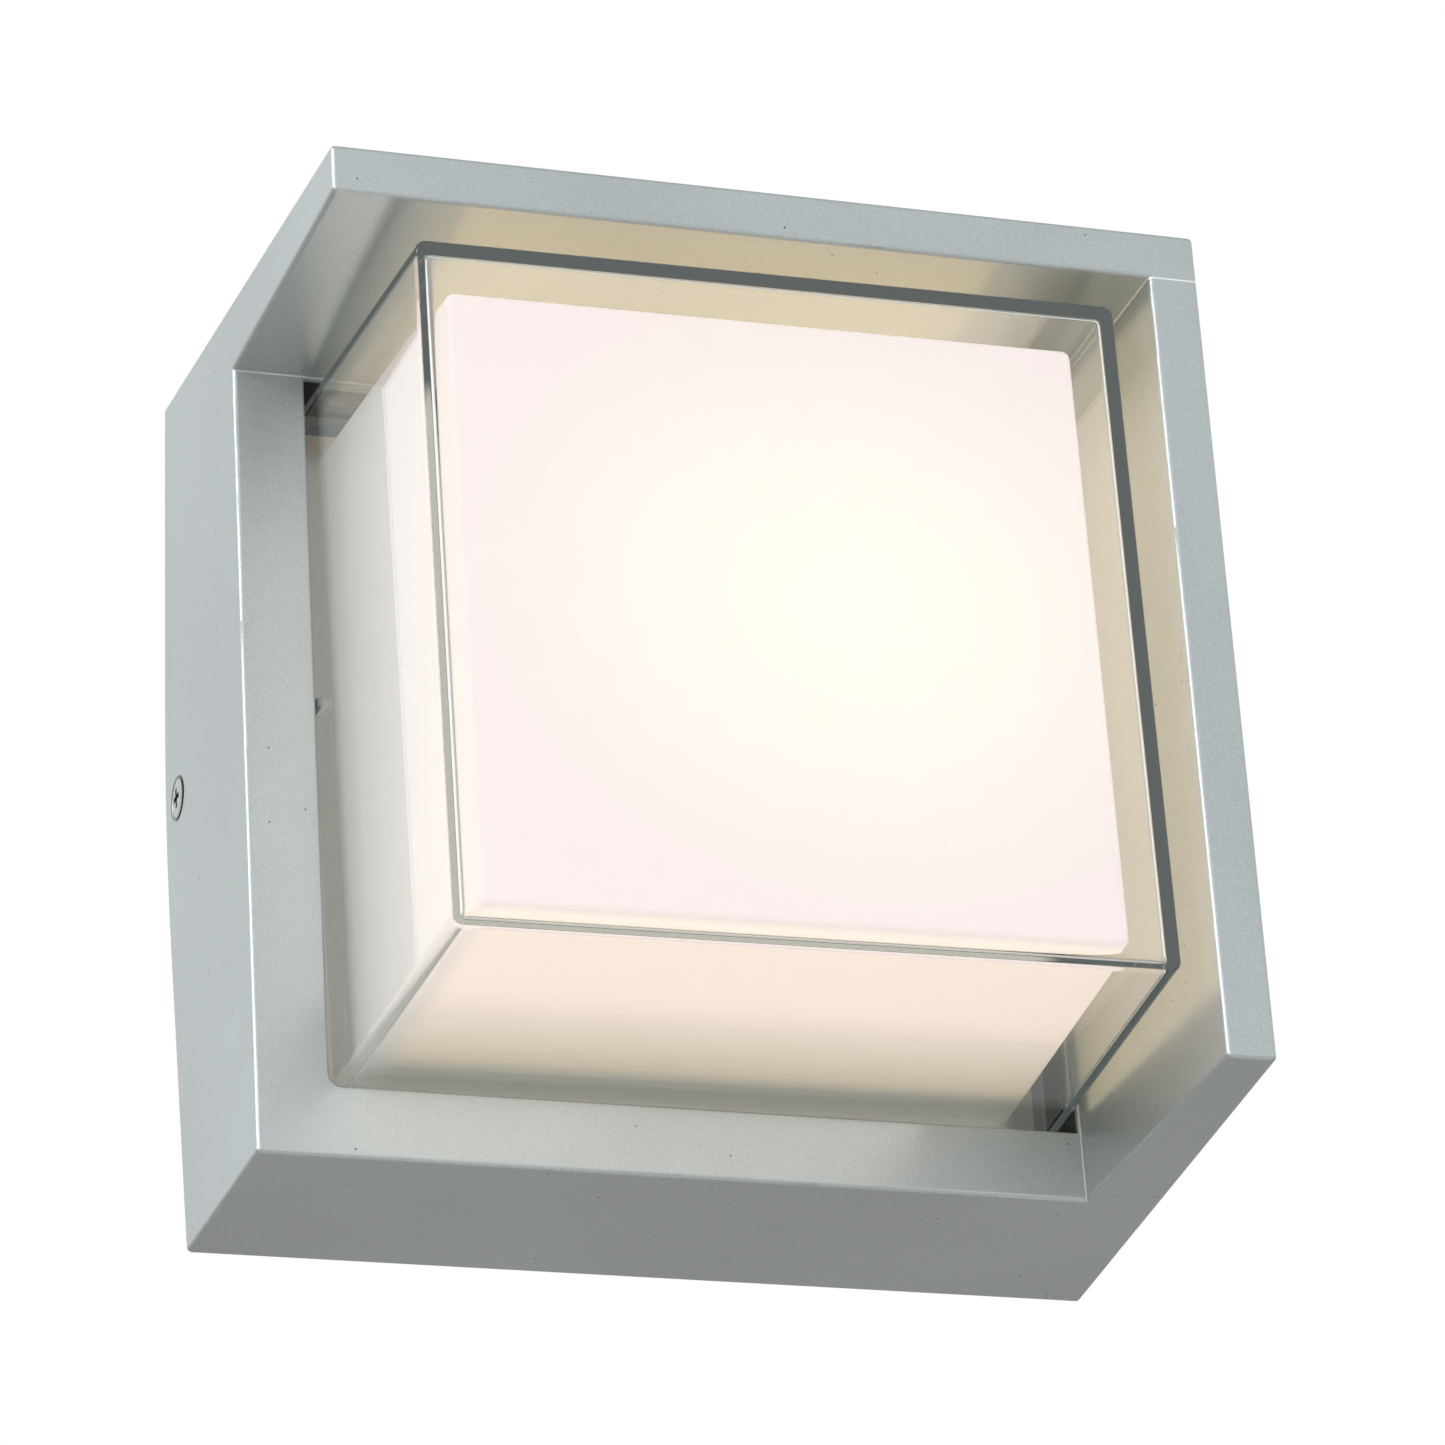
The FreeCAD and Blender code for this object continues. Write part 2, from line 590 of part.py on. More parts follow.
def make_supply_bush():
    """Rubber bush in the case's end wall, where the installer's supply leads enter."""
    body = new_body("supply_bush")
    profile = new_sketch(body, "profile", "XY_Plane", ("-driver_wide / 2", "-bush_out", "driver_up"))
    lip, wall = "grommet_lip", "driver_wall"
    add_outline(profile, [(f"-{lip}", "bush_bore"), (f"{wall} + {lip}", "bush_bore"),
                          (f"{wall} + {lip}", "bush_flange"), (wall, "bush_flange"), (wall, "bush_neck"),
                          (0, "bush_neck"), (0, "bush_flange"), (f"-{lip}", "bush_flange")])
    turn("Revolution", body, "ring", profile, "H_Axis")


def plain_box(label, lengths, corner):
    """A Part box sized and placed from the sheet."""
    box = doc.addObject("Part::Box", label)
    box.Label = label
    for side, expression in zip(("Length", "Width", "Height"), lengths):
        box.setExpression(side, linked(expression))
    for axis, expression in zip("xyz", corner):
        box.setExpression(f"Placement.Base.{axis}", linked(expression))
    return box


def make_driver_board():
    """Circuit board; its ends stay clear of the supply bush's inner lip."""
    end_gap = "(driver_wall + grommet_lip + clearance)"
    side_gap = "(driver_wall + clearance)"
    lengths = (f"driver_wide - 2 * {end_gap}", "pcb_thick", f"driver_tall - 2 * {side_gap}")
    corner = (f"-driver_wide / 2 + {end_gap}", f"-({LID_REAR} - pcb_gap)",
              f"driver_up - driver_tall / 2 + {side_gap}")
    nodes.append(plain_box("driver_board", lengths, corner))


def make_driver_transformer():
    """Ferrite transformer: a wound block with a round-edged core."""
    body = new_body("driver_transformer")
    place = ("driver_wide / 8", "driver_up", f"{LID_REAR} - pcb_gap - pcb_thick - core_tall")
    core = new_sketch(body, "core_outline", at=place)
    add_square(core, "transformer_size / 2")
    pad(body, "core", core, "core_tall")
    winding = new_sketch(body, "winding_outline", at=(place[0], place[1], f"{place[2]} + core_tall / 4"))
    add_box(winding, "-transformer_size * 0.7", "-transformer_size * 0.35", "transformer_size * 0.7",
            "transformer_size * 0.35")
    pad(body, "winding", winding, "core_tall / 2")
    middle, reach = size(place[0]), size("transformer_size * 0.6")
    round_edges(body, "winding_edges", "driver_corner / 2",
                lambda start, end: along_depth(start, end) and abs(start.x - middle) > reach)


def make_driver_capacitors():
    """Two electrolytic cans standing on the driver board."""
    body = new_body("driver_capacitors")
    foot = f"{LID_REAR} - pcb_gap - pcb_thick - capacitor_tall"
    for across in ("-driver_wide / 12", "driver_wide / 3"):
        can = new_sketch(body, "can_circle", at=(across, "driver_up", foot))
        add_circle(can, 0, 0, "capacitor_radius")
        pad(body, "can", can, "capacitor_tall")


# ---------------------------------------------------------------- wall plate

def make_wall_plate():
    """Pressed steel plate: slots for a junction box, wire hole, ground dimple and two side tabs."""
    body = new_body("wall_plate")
    outline = new_sketch(body, "plate_outline")
    add_box(outline, "-plate_wide / 2", "-plate_tall / 2", "plate_wide / 2", "plate_tall / 2")
    pad(body, "plate", outline, "plate_thick")
    tabs = new_sketch(body, "tab_outlines", at=(0, "side_screw_up", 0))
    for side in (-1, 1):
        outer, inner = f"{side} * plate_wide / 2", f"{side} * (plate_wide / 2 - plate_thick)"
        add_box(tabs, outer, "-tab_tall / 2", inner, "tab_tall / 2")
    pad(body, "tabs", tabs, "tab_reach")
    dimple = new_sketch(body, "dimple_circle", at=("dimple_across", "dimple_up", 0))
    add_circle(dimple, 0, 0, "dimple_radius")
    pad(body, "dimple", dimple, "plate_thick + dimple_height")
    round_edges(body, "tab_corners", "driver_corner",
                lambda start, end: in_plane(size("tab_reach"))(start, end) and abs(start.x - end.x) > 1)
    hollow = new_sketch(body, "hollow_circle", at=("dimple_across", "dimple_up", 0))
    add_circle(hollow, 0, 0, "dimple_radius - plate_thick")
    pocket(body, "dimple_hollow", hollow, "dimple_height", to_wall=False)

    holes = new_sketch(body, "plate_holes")
    add_circle(holes, 0, 0, "wire_hole")
    add_circle(holes, "dimple_across", "dimple_up", "ground_shank + screw_fit")
    for side in (-1, 1):
        add_slot(holes, f"{side} * slot_spacing / 2")
    pocket(body, "holes", holes, "plate_thick + dimple_height + 1", to_wall=False)
    threads = new_sketch(body, "thread_circle", "YZ_Plane",
                         ("-side_screw_out", "side_screw_up", "-plate_wide"))
    add_circle(threads, 0, 0, "side_shank + screw_fit")
    pocket(body, "side_threads", threads, "2 * plate_wide", to_wall=False)


def add_slot(sketch, across):
    """A round-ended slot along X, centred on the sketch's X axis."""
    half_run, radius = "(slot_long - slot_wide) / 2", "slot_wide / 2"
    left, right = size(f"{across} - {half_run}"), size(f"{across} + {half_run}")
    reach = size(radius)
    top = sketch.addGeometry(Part.LineSegment(Vector(left, reach, 0), Vector(right, reach, 0)))
    low = sketch.addGeometry(Part.LineSegment(Vector(right, -reach, 0), Vector(left, -reach, 0)))
    ends = []
    for x, first in ((right, -math.pi / 2), (left, math.pi / 2)):
        circle = Part.Circle(Vector(x, 0, 0), Vector(0, 0, 1), reach)
        ends.append(sketch.addGeometry(Part.ArcOfCircle(circle, first, first + math.pi)))
    for line, line_end, arc, arc_end in ((top, 2, ends[0], 2), (low, 1, ends[0], 1),
                                         (low, 2, ends[1], 2), (top, 1, ends[1], 1)):
        sketch.addConstraint(Sketcher.Constraint("Tangent", line, line_end, arc, arc_end))
    for arc, x in zip(ends, (f"{across} + {half_run}", f"{across} - {half_run}")):
        sketch.addConstraint(Sketcher.Constraint("PointOnObject", arc, 3, -1))
        constrain(sketch, "DistanceX", -1, 1, arc, 3, value=x)
    constrain(sketch, "Radius", ends[0], value=radius)


# ---------------------------------------------------------------- fasteners

def cut_cross(body, sketch):
    """A cross recess in a screw head, cut from the sketch's plane."""
    near, far = "recess_wide / 2", "recess_long / 2"
    add_outline(sketch, [(f"-{far}", f"-{near}"), (f"-{near}", f"-{near}"), (f"-{near}", f"-{far}"),
                         (near, f"-{far}"), (near, f"-{near}"), (far, f"-{near}"),
                         (far, near), (near, near), (near, far),
                         (f"-{near}", far), (f"-{near}", near), (f"-{far}", near)])


def make_side_screw(label, side):
    """Raised countersunk screw through the housing's side into the wall plate's tab."""
    body = new_body(label)
    face = f"({HALF} - side_screw_out * {SLOPE})"
    profile = new_sketch(body, "profile", "XY_Plane", (0, "-side_screw_out", "side_screw_up"))
    tip = f"{side} * ({face} - side_screw_long)"
    crown = f"{side} * ({face} + side_head_dome)"
    add_outline(profile, [(crown, 0), (crown, "side_head * 0.45"),
                          (f"{side} * ({face} + side_head_dome * 0.6)", "side_head * 0.8"),
                          (f"{side} * {face}", "side_head"),
                          (f"{side} * ({face} - side_head_deep)", "side_shank"),
                          (f"{tip} - {side} * -0.6", "side_shank"), (tip, "side_shank - 0.6"), (tip, 0)])
    turn("Revolution", body, "turned", profile, "H_Axis")
    cross = new_sketch(body, "cross", "YZ_Plane", ("-side_screw_out", "side_screw_up", crown))
    cut_cross(body, cross)
    pocket(body, "recess", cross, "recess_deep", 12, to_wall=side > 0)


def make_pan_screws(label, across, up, head_out, length, heads_to_wall, repeat):
    """Pan-head screws square to the wall plane: the first one, then its copies."""
    body = new_body(label)
    towards = "" if heads_to_wall else "-"
    away = "-" if heads_to_wall else ""
    profile = new_sketch(body, "profile", "XY_Plane", (across, f"-({head_out})", up))
    crown, tip = f"{towards}small_head_tall", f"{away}({length})"
    add_outline(profile, [(0, crown), ("small_head * 0.7", crown), ("small_head", f"{crown} * 0.5"),
                          ("small_head", 0), ("small_shank", 0), ("small_shank", tip), (0, tip)])
    turned = turn("Revolution", body, "turned", profile, "V_Axis")
    sign = "-" if heads_to_wall else "+"
    cross = new_sketch(body, "cross", at=(across, up, f"{head_out} {sign} small_head_tall"))
    cut_cross(body, cross)
    recess = pocket(body, "recess", cross, "recess_deep", 12, to_wall=not heads_to_wall)
    repeat(body, [turned, recess])


def make_ground_screw():
    """Hexagon-head ground screw in the dimple of the wall plate."""
    body = new_body("ground_screw")
    seat = "plate_thick + dimple_height + washer_thick"
    head = new_sketch(body, "hexagon", at=("dimple_across", "dimple_up", seat))
    corners = [(f"ground_head * {math.cos(turned):.6f}", f"ground_head * {math.sin(turned):.6f}")
               for turned in (math.pi / 3 * step for step in range(6))]
    add_outline(head, corners)
    pad(body, "head", head, "ground_head_tall")
    shank = new_sketch(body, "shank_circle", at=("dimple_across", "dimple_up", seat))
    add_circle(shank, 0, 0, "ground_shank")
    pad(body, "shank", shank, "dimple_height + washer_thick", to_wall=True)
    slot = new_sketch(body, "driver_slot", at=("dimple_across", "dimple_up", f"{seat} + ground_head_tall"))
    add_box(slot, "-ground_head * 1.1", "-recess_wide / 2", "ground_head * 1.1", "recess_wide / 2")
    pocket(body, "slot", slot, "recess_deep")


def make_ground_washer():
    body = new_body("ground_washer")
    ring = new_sketch(body, "ring", at=("dimple_across", "dimple_up", "plate_thick + dimple_height"))
    add_circle(ring, 0, 0, "washer_radius")
    add_circle(ring, 0, 0, "ground_shank + clearance")
    pad(body, "washer", ring, "washer_thick")


# ---------------------------------------------------------------- assembly

make_front_frame()
make_cover_gasket()
make_clear_cover()
make_opal_diffuser()
make_led_tray()
make_thermal_pad()
make_led_board()
make_led_chips()
make_board_connector()
make_lead_grommet()
make_lead("lead_positive", 1)
make_lead("lead_negative", -1)
make_driver_lid()
make_driver_case()
make_supply_bush()
make_driver_board()
make_driver_transformer()
make_driver_capacitors()
make_wall_plate()
make_side_screw("left_side_screw", -1)
make_side_screw("right_side_screw", 1)
make_pan_screws("tray_screws", "boss_place", "boss_place", TRAY_REAR, "tray_thick + 6", True, around)
make_pan_screws("board_screws", *board_screw_place(1, 1), BOARD_FRONT,
                "board_thick + pad_thick + tray_thick", False, around)
make_pan_screws("driver_screws", driver_ear(1), "driver_up", LID_REAR,
                "lid_thick + tray_thick", True, mirrored)
make_ground_screw()
make_ground_washer()

doc.recompute()
for item in doc.Objects:
    if any(word in item.State for word in ("Invalid", "Error")):
        raise RuntimeError(f"{item.Label} failed: {item.State}")
os.makedirs("parts", exist_ok=True)
for node in nodes:
    shape = node.Shape
    if shape.isNull() or not shape.isValid() or not shape.Solids:
        raise RuntimeError(f"{node.Label} is not a valid solid")
    shape.exportStep(f"parts/{node.Label}.step")
print(f"{len(nodes)} nodes written")
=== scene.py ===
"""Looks for the outdoor wall lantern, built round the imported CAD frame. Metres, row frame."""
import math

import bmesh
import bpy
from mathutils import Matrix, Vector


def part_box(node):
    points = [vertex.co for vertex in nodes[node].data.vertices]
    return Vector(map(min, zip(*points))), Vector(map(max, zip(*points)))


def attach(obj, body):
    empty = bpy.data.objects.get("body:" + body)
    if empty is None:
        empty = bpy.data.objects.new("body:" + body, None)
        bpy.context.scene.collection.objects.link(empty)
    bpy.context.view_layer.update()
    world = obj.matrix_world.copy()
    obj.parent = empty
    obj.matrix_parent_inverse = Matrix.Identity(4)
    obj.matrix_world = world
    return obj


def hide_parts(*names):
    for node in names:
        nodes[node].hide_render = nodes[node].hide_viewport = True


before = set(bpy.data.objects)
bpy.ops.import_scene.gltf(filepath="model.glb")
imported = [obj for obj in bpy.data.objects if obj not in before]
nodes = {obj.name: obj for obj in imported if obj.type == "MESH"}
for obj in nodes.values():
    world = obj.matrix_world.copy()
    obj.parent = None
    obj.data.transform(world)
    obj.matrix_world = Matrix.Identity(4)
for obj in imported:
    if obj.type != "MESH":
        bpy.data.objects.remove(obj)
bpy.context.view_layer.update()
MM = 0.001

# The covers' half widths at their roots, and the flanges round their rears.
COVER_HALF, DIFFUSER_HALF = 71.6 * MM, 64.6 * MM
FLANGE_HALF, FLANGE_CORNER = 77.5 * MM, 6 * MM
# The covers sit a little low, left and turned in their clearance.
COVER_SLIP, COVER_TURN = 0.25 * MM, math.radians(0.45)
SEATING = Matrix.Translation((-COVER_SLIP, 0, -COVER_SLIP)) @ Matrix.Rotation(-COVER_TURN, 4, "Y")
# The rails' front plane, and where the hood's top meets its right wall.
RAIL_FRONT, SEAM = -53.1 * MM, 75 * MM
# The brightest spot of the lit front.
LAMP_MIDDLE = Vector((14, 0, 4)) * MM


# ---------------------------------------------------------------- camera, light and floor

def make_camera():
    """Below and to the left of the lantern, looking up at it, slightly rolled."""
    azimuth, elevation, roll = math.radians(-19.39), math.radians(-25.18), math.radians(3.79)
    distance = 1.2197
    aim = Vector((3.4, -63.0, 1.7)) * MM
    back = Vector((math.sin(azimuth) * math.cos(elevation), -math.cos(azimuth) * math.cos(elevation),
                   math.sin(elevation)))
    camera = bpy.data.objects.new("camera", bpy.data.cameras.new("camera"))
    camera.data.sensor_width = 36
    camera.data.lens = 160.9
    camera.data.clip_start, camera.data.clip_end = 0.05, 100
    camera.rotation_mode = "QUATERNION"
    camera.location = aim + back * distance
    turn = (-back).to_track_quat("-Z", "Y")
    camera.rotation_quaternion = turn @ Matrix.Rotation(-roll, 3, "Z").to_quaternion()
    bpy.context.collection.objects.link(camera)
    bpy.context.scene.camera = camera


def make_world():
    """White round the horizon and above it, greyer overhead and below."""
    world = bpy.data.worlds.new("studio")
    world.use_nodes = True
    bpy.context.scene.world = world
    tree = world.node_tree
    background = tree.nodes["Background"]
    place = tree.nodes.new("ShaderNodeTexCoord")
    split = tree.nodes.new("ShaderNodeSeparateXYZ")
    ramp = tree.nodes.new("ShaderNodeValToRGB")
    steps = ramp.color_ramp
    steps.elements[0].position, steps.elements[0].color = 0.0, (0.14, 0.145, 0.15, 1)
    steps.elements[1].position, steps.elements[1].color = 1.0, (0.55, 0.56, 0.57, 1)
    for position, value in ((0.45, 0.40), (0.52, 1.0), (0.80, 1.0)):
        steps.elements.new(position).color = (value, value, value, 1)
    rescale = tree.nodes.new("ShaderNodeMapRange")
    rescale.inputs["From Min"].default_value = -1
    tree.links.new(place.outputs["Generated"], split.inputs[0])
    tree.links.new(split.outputs["Z"], rescale.inputs["Value"])
    tree.links.new(rescale.outputs[0], ramp.inputs["Fac"])
    tree.links.new(ramp.outputs["Color"], background.inputs["Color"])


def add_lamp(name, place, facing, width, tall, power, color=(1, 1, 1)):
    """A rectangular area light that shines along facing; the camera doesn't see it."""
    light = bpy.data.lights.new(name, "AREA")
    light.shape, light.size, light.size_y, light.energy, light.color = "RECTANGLE", width, tall, power, color
    lamp = bpy.data.objects.new(name, light)
    lamp.location = place
    lamp.rotation_mode = "QUATERNION"
    lamp.rotation_quaternion = (-Vector(facing)).to_track_quat("Z", "Y")
    lamp.visible_camera = lamp.visible_transmission = False
    bpy.context.collection.objects.link(lamp)


def add_softbox(name, towards, distance, width, power):
    """A square studio light that faces the lantern from the given direction."""
    direction = Vector(towards).normalized()
    add_lamp(name, direction * distance, -direction, width, width, power)


def add_glow():
    """The lantern's own warm light on the hood and the rails, from just outside the clear cover."""
    low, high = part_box("clear_cover")
    depth = 62 * MM  # almost from the cover's front to the rails
    middle = low.y + depth / 2
    out = COVER_HALF + 0.6 * MM
    amber, cream, pale = (1.0, 0.60, 0.22), (1.0, 0.78, 0.50), (1.0, 0.89, 0.79)
    # Across and up say which side it is on; its shift and its length along that side are in cover halves.
    for name, across, up, shift, long, power, color in (
            ("glow_up", 0, 1, -0.08, 1.45, 0.0064, amber),
            ("glow_right", 1, 0, 0.02, 2.0, 0.0142, cream),
            ("glow_left", -1, 0, 0.12, 1.75, 0.0118, pale),
            ("glow_down", 0, -1, -0.2, 1.6, 0.0125, pale)):
        place = Vector((across * out, middle, up * out))
        place += Vector((abs(up), 0, abs(across))) * shift * COVER_HALF
        long *= COVER_HALF
        add_lamp(name, place, Vector((across, 0, up)), long if up else depth, depth if up else long,
                 power, color)


def make_floor():
    """A plain pale floor well below the camera, which looks up."""
    mesh = bpy.data.meshes.new("floor")
    half, level = 12, -1.5
    mesh.from_pydata([(-half, -half, level), (half, -half, level), (half, half, level), (-half, half, level)],
                     [], [(0, 1, 2, 3)])
    floor = bpy.data.objects.new("floor", mesh)
    bpy.context.collection.objects.link(floor)
    floor.data.materials.append(plain_material("floor_paint", (0.54, 0.515, 0.495), 0.8, 0.04, 3))


# ---------------------------------------------------------------- material tools

class Shader:
    """A material with short ways to add and join its nodes."""

    def __init__(self, name):
        self.material = bpy.data.materials.new(name)
        self.material.use_nodes = True
        self.tree = self.material.node_tree
        self.surface = self.tree.nodes["Principled BSDF"]
        self.place = self.add("ShaderNodeTexCoord").outputs["Object"]

    def add(self, kind, inputs=None, **settings):
        node = self.tree.nodes.new(kind)
        for key, value in settings.items():
            setattr(node, key, value)
        for key, value in (inputs or {}).items():
            self.set(node.inputs[key], value)
        return node

    def set(self, socket, value):
        if isinstance(value, bpy.types.NodeSocket):
            self.tree.links.new(value, socket)
        else:
            socket.default_value = value

    def shade(self, **inputs):
        for key, value in inputs.items():
            self.set(self.surface.inputs[key.replace("_", " ")], value)

    def noise(self, scale, detail=3, roughness=0.5, stretch=None):
        place = self.place
        if stretch:
            place = self.add("ShaderNodeMapping", {"Vector": place, "Scale": stretch}).outputs[0]
        return self.add("ShaderNodeTexNoise", {"Vector": place, "Scale": scale, "Detail": detail,
                                               "Roughness": roughness}).outputs["Fac"]

    def cells(self, scale, output="Color"):
        return self.add("ShaderNodeTexVoronoi", {"Vector": self.place, "Scale": scale}).outputs[output]

    def math(self, operation, *values):
        return self.add("ShaderNodeMath", dict(enumerate(values)), operation=operation).outputs[0]

    def vector(self, operation, *values):
        return self.add("ShaderNodeVectorMath", dict(enumerate(values)), operation=operation).outputs[0]

    def length(self, vector):
        return self.add("ShaderNodeVectorMath", {0: vector}, operation="LENGTH").outputs["Value"]

    def split(self, vector):
        return self.add("ShaderNodeSeparateXYZ", {"Vector": vector}).outputs

    def between(self, factor, low, high, start=0.0, end=1.0):
        """A number that runs from low to high as the factor runs from start to end."""
        return self.add("ShaderNodeMapRange", {"Value": factor, "From Min": start, "From Max": end,
                                               "To Min": low, "To Max": high}).outputs[0]

    def blend(self, factor, first, second):
        mix = self.add("ShaderNodeMix", {"Factor": factor}, data_type="RGBA")
        self.set(mix.inputs["A"], rgba(first))
        self.set(mix.inputs["B"], rgba(second))
        return mix.outputs["Result"]

    def bump(self, height, strength, distance, below=None):
        inputs = {"Height": height, "Strength": strength, "Distance": distance}
        if below is not None:
            inputs["Normal"] = below
        return self.add("ShaderNodeBump", inputs).outputs[0]


def rgba(color):
    if isinstance(color, bpy.types.NodeSocket):
        return color
    return (*color, 1)


def plain_material(name, color, roughness, variation, scale, metallic=0.0):
    """A matt or satin surface with slight cloudy colour, uneven gloss and a fine texture."""
    shader = Shader(name)
    cloud = shader.noise(scale, 4)
    darker = tuple(channel * (1 - variation) for channel in color)
    lighter = tuple(min(1, channel * (1 + variation)) for channel in color)
    grain = shader.noise(scale * 40, 2)
    shader.shade(Base_Color=shader.blend(shader.between(cloud, 0, 1, 0.3, 0.7), darker, lighter),
                 Roughness=shader.between(grain, roughness - 0.05, roughness + 0.07, 0.3, 0.7),
                 Metallic=metallic, Normal=shader.bump(grain, 0.25, 0.2 * MM))
    return shader.material


# ---------------------------------------------------------------- materials of the lantern

def silver_paint():
    """Metallic paint: fine bright flakes in a cool grey coat, a few specks, soft orange peel, and painted
    shade inside the opening.
    """
    shader = Shader("silver_paint")
    flake = shader.cells(6500)
    flake_value = shader.add("ShaderNodeSeparateColor", {"Color": flake}).outputs[0]
    cloud = shader.noise(14, 4)
    coat = shader.blend(shader.between(cloud, 0, 1, 0.35, 0.65), (0.385, 0.43, 0.435), (0.435, 0.485, 0.49))
    coat = shader.blend(shader.between(flake_value, 0, 0.45, 0.3, 1.0), coat, (0.63, 0.68, 0.69))
    speck = shader.between(shader.cells(170, "Distance"), 1, 0, 0.03, 0.045)
    coat = shader.blend(speck, coat, (0.10, 0.105, 0.105))
    # Painted shade: the inside of the opening behind the rails is made almost black.
    coat = shader.blend(opening_shade_mask(shader), coat, (0.03, 0.032, 0.032))
    peel = shader.bump(shader.noise(900, 2), 0.12, 0.1 * MM)
    sparkle = shader.bump(flake_value, 0.08, 0.03 * MM, peel)
    shader.shade(Base_Color=shader.blend(seam_mask(shader), coat, (0.85, 0.9, 0.9)), Metallic=0.8,
                 Roughness=shader.between(flake_value, 0.34, 0.46), Normal=sparkle)
    return shader.material


def opening_shade_mask(shader):
    """1 on the frame's parts inside, behind the rails, which are darkened there as painted shade."""
    across, depth, up = shader.split(shader.place)
    out = shader.math("MAXIMUM", shader.math("ABSOLUTE", across), shader.math("ABSOLUTE", up))
    inside = shader.between(out, 1, 0, 77.2 * MM, 78.2 * MM)
    behind = shader.between(depth, 0, 1, RAIL_FRONT + 0.5 * MM, RAIL_FRONT + 1.3 * MM)
    return shader.math("MULTIPLY", inside, behind)


def seam_mask(shader):
    """1 along the hairline where the hood's top meets its right wall, on the front face."""
    low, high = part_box("front_frame")
    across, depth, up = shader.split(shader.place)
    off = shader.math("ABSOLUTE", shader.math("SUBTRACT", up, SEAM))
    hairline = shader.between(off, 1, 0, 0.08 * MM, 0.22 * MM)
    on_wall = shader.between(across, 0, 1, SEAM, SEAM + 0.3 * MM)
    in_front = shader.between(depth, 0, 1, low.y + 1.4 * MM, low.y + 0.9 * MM)
    return shader.math("MULTIPLY", shader.math("MULTIPLY", hairline, on_wall), in_front)


def clear_acrylic():
    shader = Shader("clear_acrylic")
    shader.shade(Base_Color=(0.985, 0.992, 0.988, 1), Transmission_Weight=1.0, IOR=1.49,
                 Roughness=shader.between(shader.noise(60, 2), 0.0, 0.03, 0.45, 0.8))
    return shader.material


def frosted_acrylic():
    shader = Shader("frosted_acrylic")
    shader.shade(Base_Color=shader.blend(shader.noise(900, 2), (0.80, 0.80, 0.76), (0.88, 0.88, 0.84)),
                 Transmission_Weight=0.6, IOR=1.49, Roughness=0.5)
    return shader.material


def opal_glow():
    """Lit opal plastic: near white in front, warmer and dimmer down its sides, greyest on the flange."""
    shader = Shader("opal_glow")
    fine = shader.noise(300, 3)
    speck = shader.between(shader.cells(130, "Distance"), 1, 0, 0.015, 0.025)
    shader.shade(Base_Color=shader.blend(fine, (0.74, 0.73, 0.71), (0.80, 0.79, 0.77)),
                 Roughness=shader.between(fine, 0.35, 0.5),
                 Emission_Color=shader.blend(speck, opal_light(shader), (0.1, 0.09, 0.08)),
                 Emission_Strength=1.0, Normal=shader.bump(fine, 0.1, 0.05 * MM))
    return shader.material


def opal_light(shader):
    """The light that leaves each part of the opal diffuser."""
    low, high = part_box("opal_diffuser")
    across, depth, up = shader.split(shader.place)
    from_front = shader.between(depth, 1, 0, low.y + 0.2 * MM, low.y + 3 * MM)
    return shader.blend(from_front, side_light(shader, low, high), front_light(shader))


def front_light(shader):
    """A pinkish white front with a yellower, brighter patch round the middle of the lamp."""
    from_middle = shader.vector("SUBTRACT", shader.place, LAMP_MIDDLE)
    reach = shader.length(shader.vector("MULTIPLY", from_middle, (1, 0, 1.2)))
    return shader.blend(shader.between(reach, 1, 0, 5 * MM, 75 * MM), (0.56, 0.46, 0.45), (0.64, 0.62, 0.52))


def side_light(shader, low, high):
    """Warm right, lower and upper sides over a grey skirt, a cooler left side, and a dim flange; the skirt
    and the dimmer left side are painted shade, and the flange's glow is painted light.
    """
    across, depth, up = shader.split(shader.place)
    bright, skirt = low.y + 30 * MM, high.y - 14 * MM
    warm = shader.blend(shader.between(depth, 1, 0, bright, skirt), (0.40, 0.32, 0.20), (0.79, 0.63, 0.52))
    # Painted shade: a grey skirt of glow near the diffuser's base.
    above_skirt = shader.between(depth, 1, 0, skirt - 2 * MM, skirt + 3 * MM)
    warm = shader.blend(above_skirt, (0.18, 0.18, 0.155), warm)
    to_wall = shader.between(depth, 1, 0, bright, high.y)
    cool = shader.blend(to_wall, (0.23, 0.235, 0.22), (0.43, 0.385, 0.355))
    # Painted shade: the left side glows cooler and dimmer than the others.
    sides = shader.blend(shader.between(across, 1, 0, -64 * MM, -58 * MM), warm, cool)
    topmost = shader.math("SUBTRACT", up, shader.math("ABSOLUTE", across))
    sides = shader.blend(shader.between(topmost, 0, 1, -0.5 * MM, 1 * MM), sides, (1.10, 0.90, 0.68))
    # Painted light: the flange has no lamp behind it but glows dimly, more on the left and lower sides than
    # on the top and right.
    shade = shader.between(shader.math("MAXIMUM", across, up), 0, 1, 62 * MM, 66 * MM)
    flange = shader.blend(shade, (0.19, 0.19, 0.17), (0.03, 0.036, 0.036))
    return shader.blend(shader.between(depth, 1, 0, high.y - 2.5 * MM, high.y - 2 * MM), flange, sides)


def screw_hollow_shade(shader):
    """1 on the side screws' cross recess and round the rim of their heads, where they are darkened as painted
    shade.
    """
    low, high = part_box("left_side_screw")
    off = shader.vector("MULTIPLY", shader.vector("SUBTRACT", shader.place, (low + high) / 2), (0, 1, 1))
    across, along, upright = shader.split(shader.vector("ABSOLUTE", off))
    within_arm = shader.between(shader.math("MINIMUM", along, upright), 1, 0, 0.55 * MM, 0.75 * MM)
    within_reach = shader.between(shader.math("MAXIMUM", along, upright), 1, 0, 1.95 * MM, 2.15 * MM)
    rim = shader.between(shader.length(off), 0, 1, 3.65 * MM, 3.85 * MM)
    return shader.math("MAXIMUM", rim, shader.math("MULTIPLY", within_arm, within_reach))


